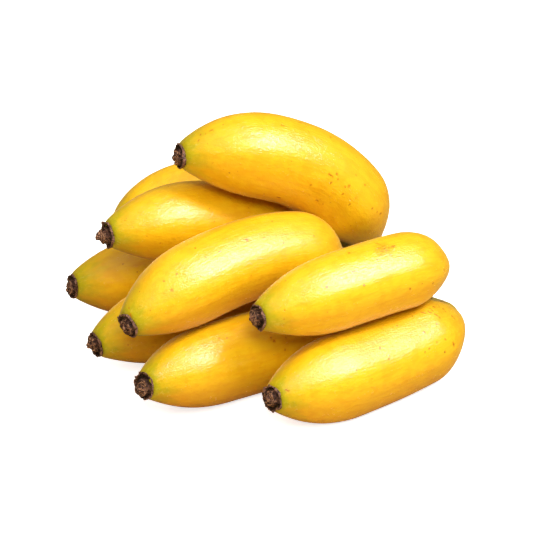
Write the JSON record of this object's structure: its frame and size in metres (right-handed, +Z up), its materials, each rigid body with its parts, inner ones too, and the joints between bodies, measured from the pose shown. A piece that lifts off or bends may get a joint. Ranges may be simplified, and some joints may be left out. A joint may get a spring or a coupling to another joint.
{
  "type": "hand of baby bananas",
  "caption": "Hand of plump ripe baby bananas joined at a woody crown, lying on its lower row, with dried flower ends pointing to one side.",
  "frame": {"origin": "under the middle of the hand, on the surface that it rests on", "axes": "+Z up; flower ends point to -X and -Y, the crown is at +X with its cut face to +X +Y"},
  "size_m": [0.1552, 0.1475, 0.0957],
  "materials": {
    "peel": "ripe yellow banana peel, waxy satin, green by the flower end",
    "flower_end": "dry dark brown cork",
    "crown": "rough yellow-brown stem tissue"
  },
  "bodies": {
    "root": {"finger_top": "peel", "finger_upper_back": "peel", "finger_upper_left": "peel", "finger_upper_middle": "peel", "finger_upper_right": "peel", "finger_lower_back": "peel", "finger_lower_left": "peel", "finger_lower_middle": "peel", "finger_lower_right": "peel", "flower_end_top": "flower_end", "flower_end_upper_back": "flower_end", "flower_end_upper_left": "flower_end", "flower_end_upper_middle": "flower_end", "flower_end_upper_right": "flower_end", "flower_end_lower_back": "flower_end", "flower_end_lower_left": "flower_end", "flower_end_lower_middle": "flower_end", "flower_end_lower_right": "flower_end", "crown": "crown"}
  },
  "joints": []
}
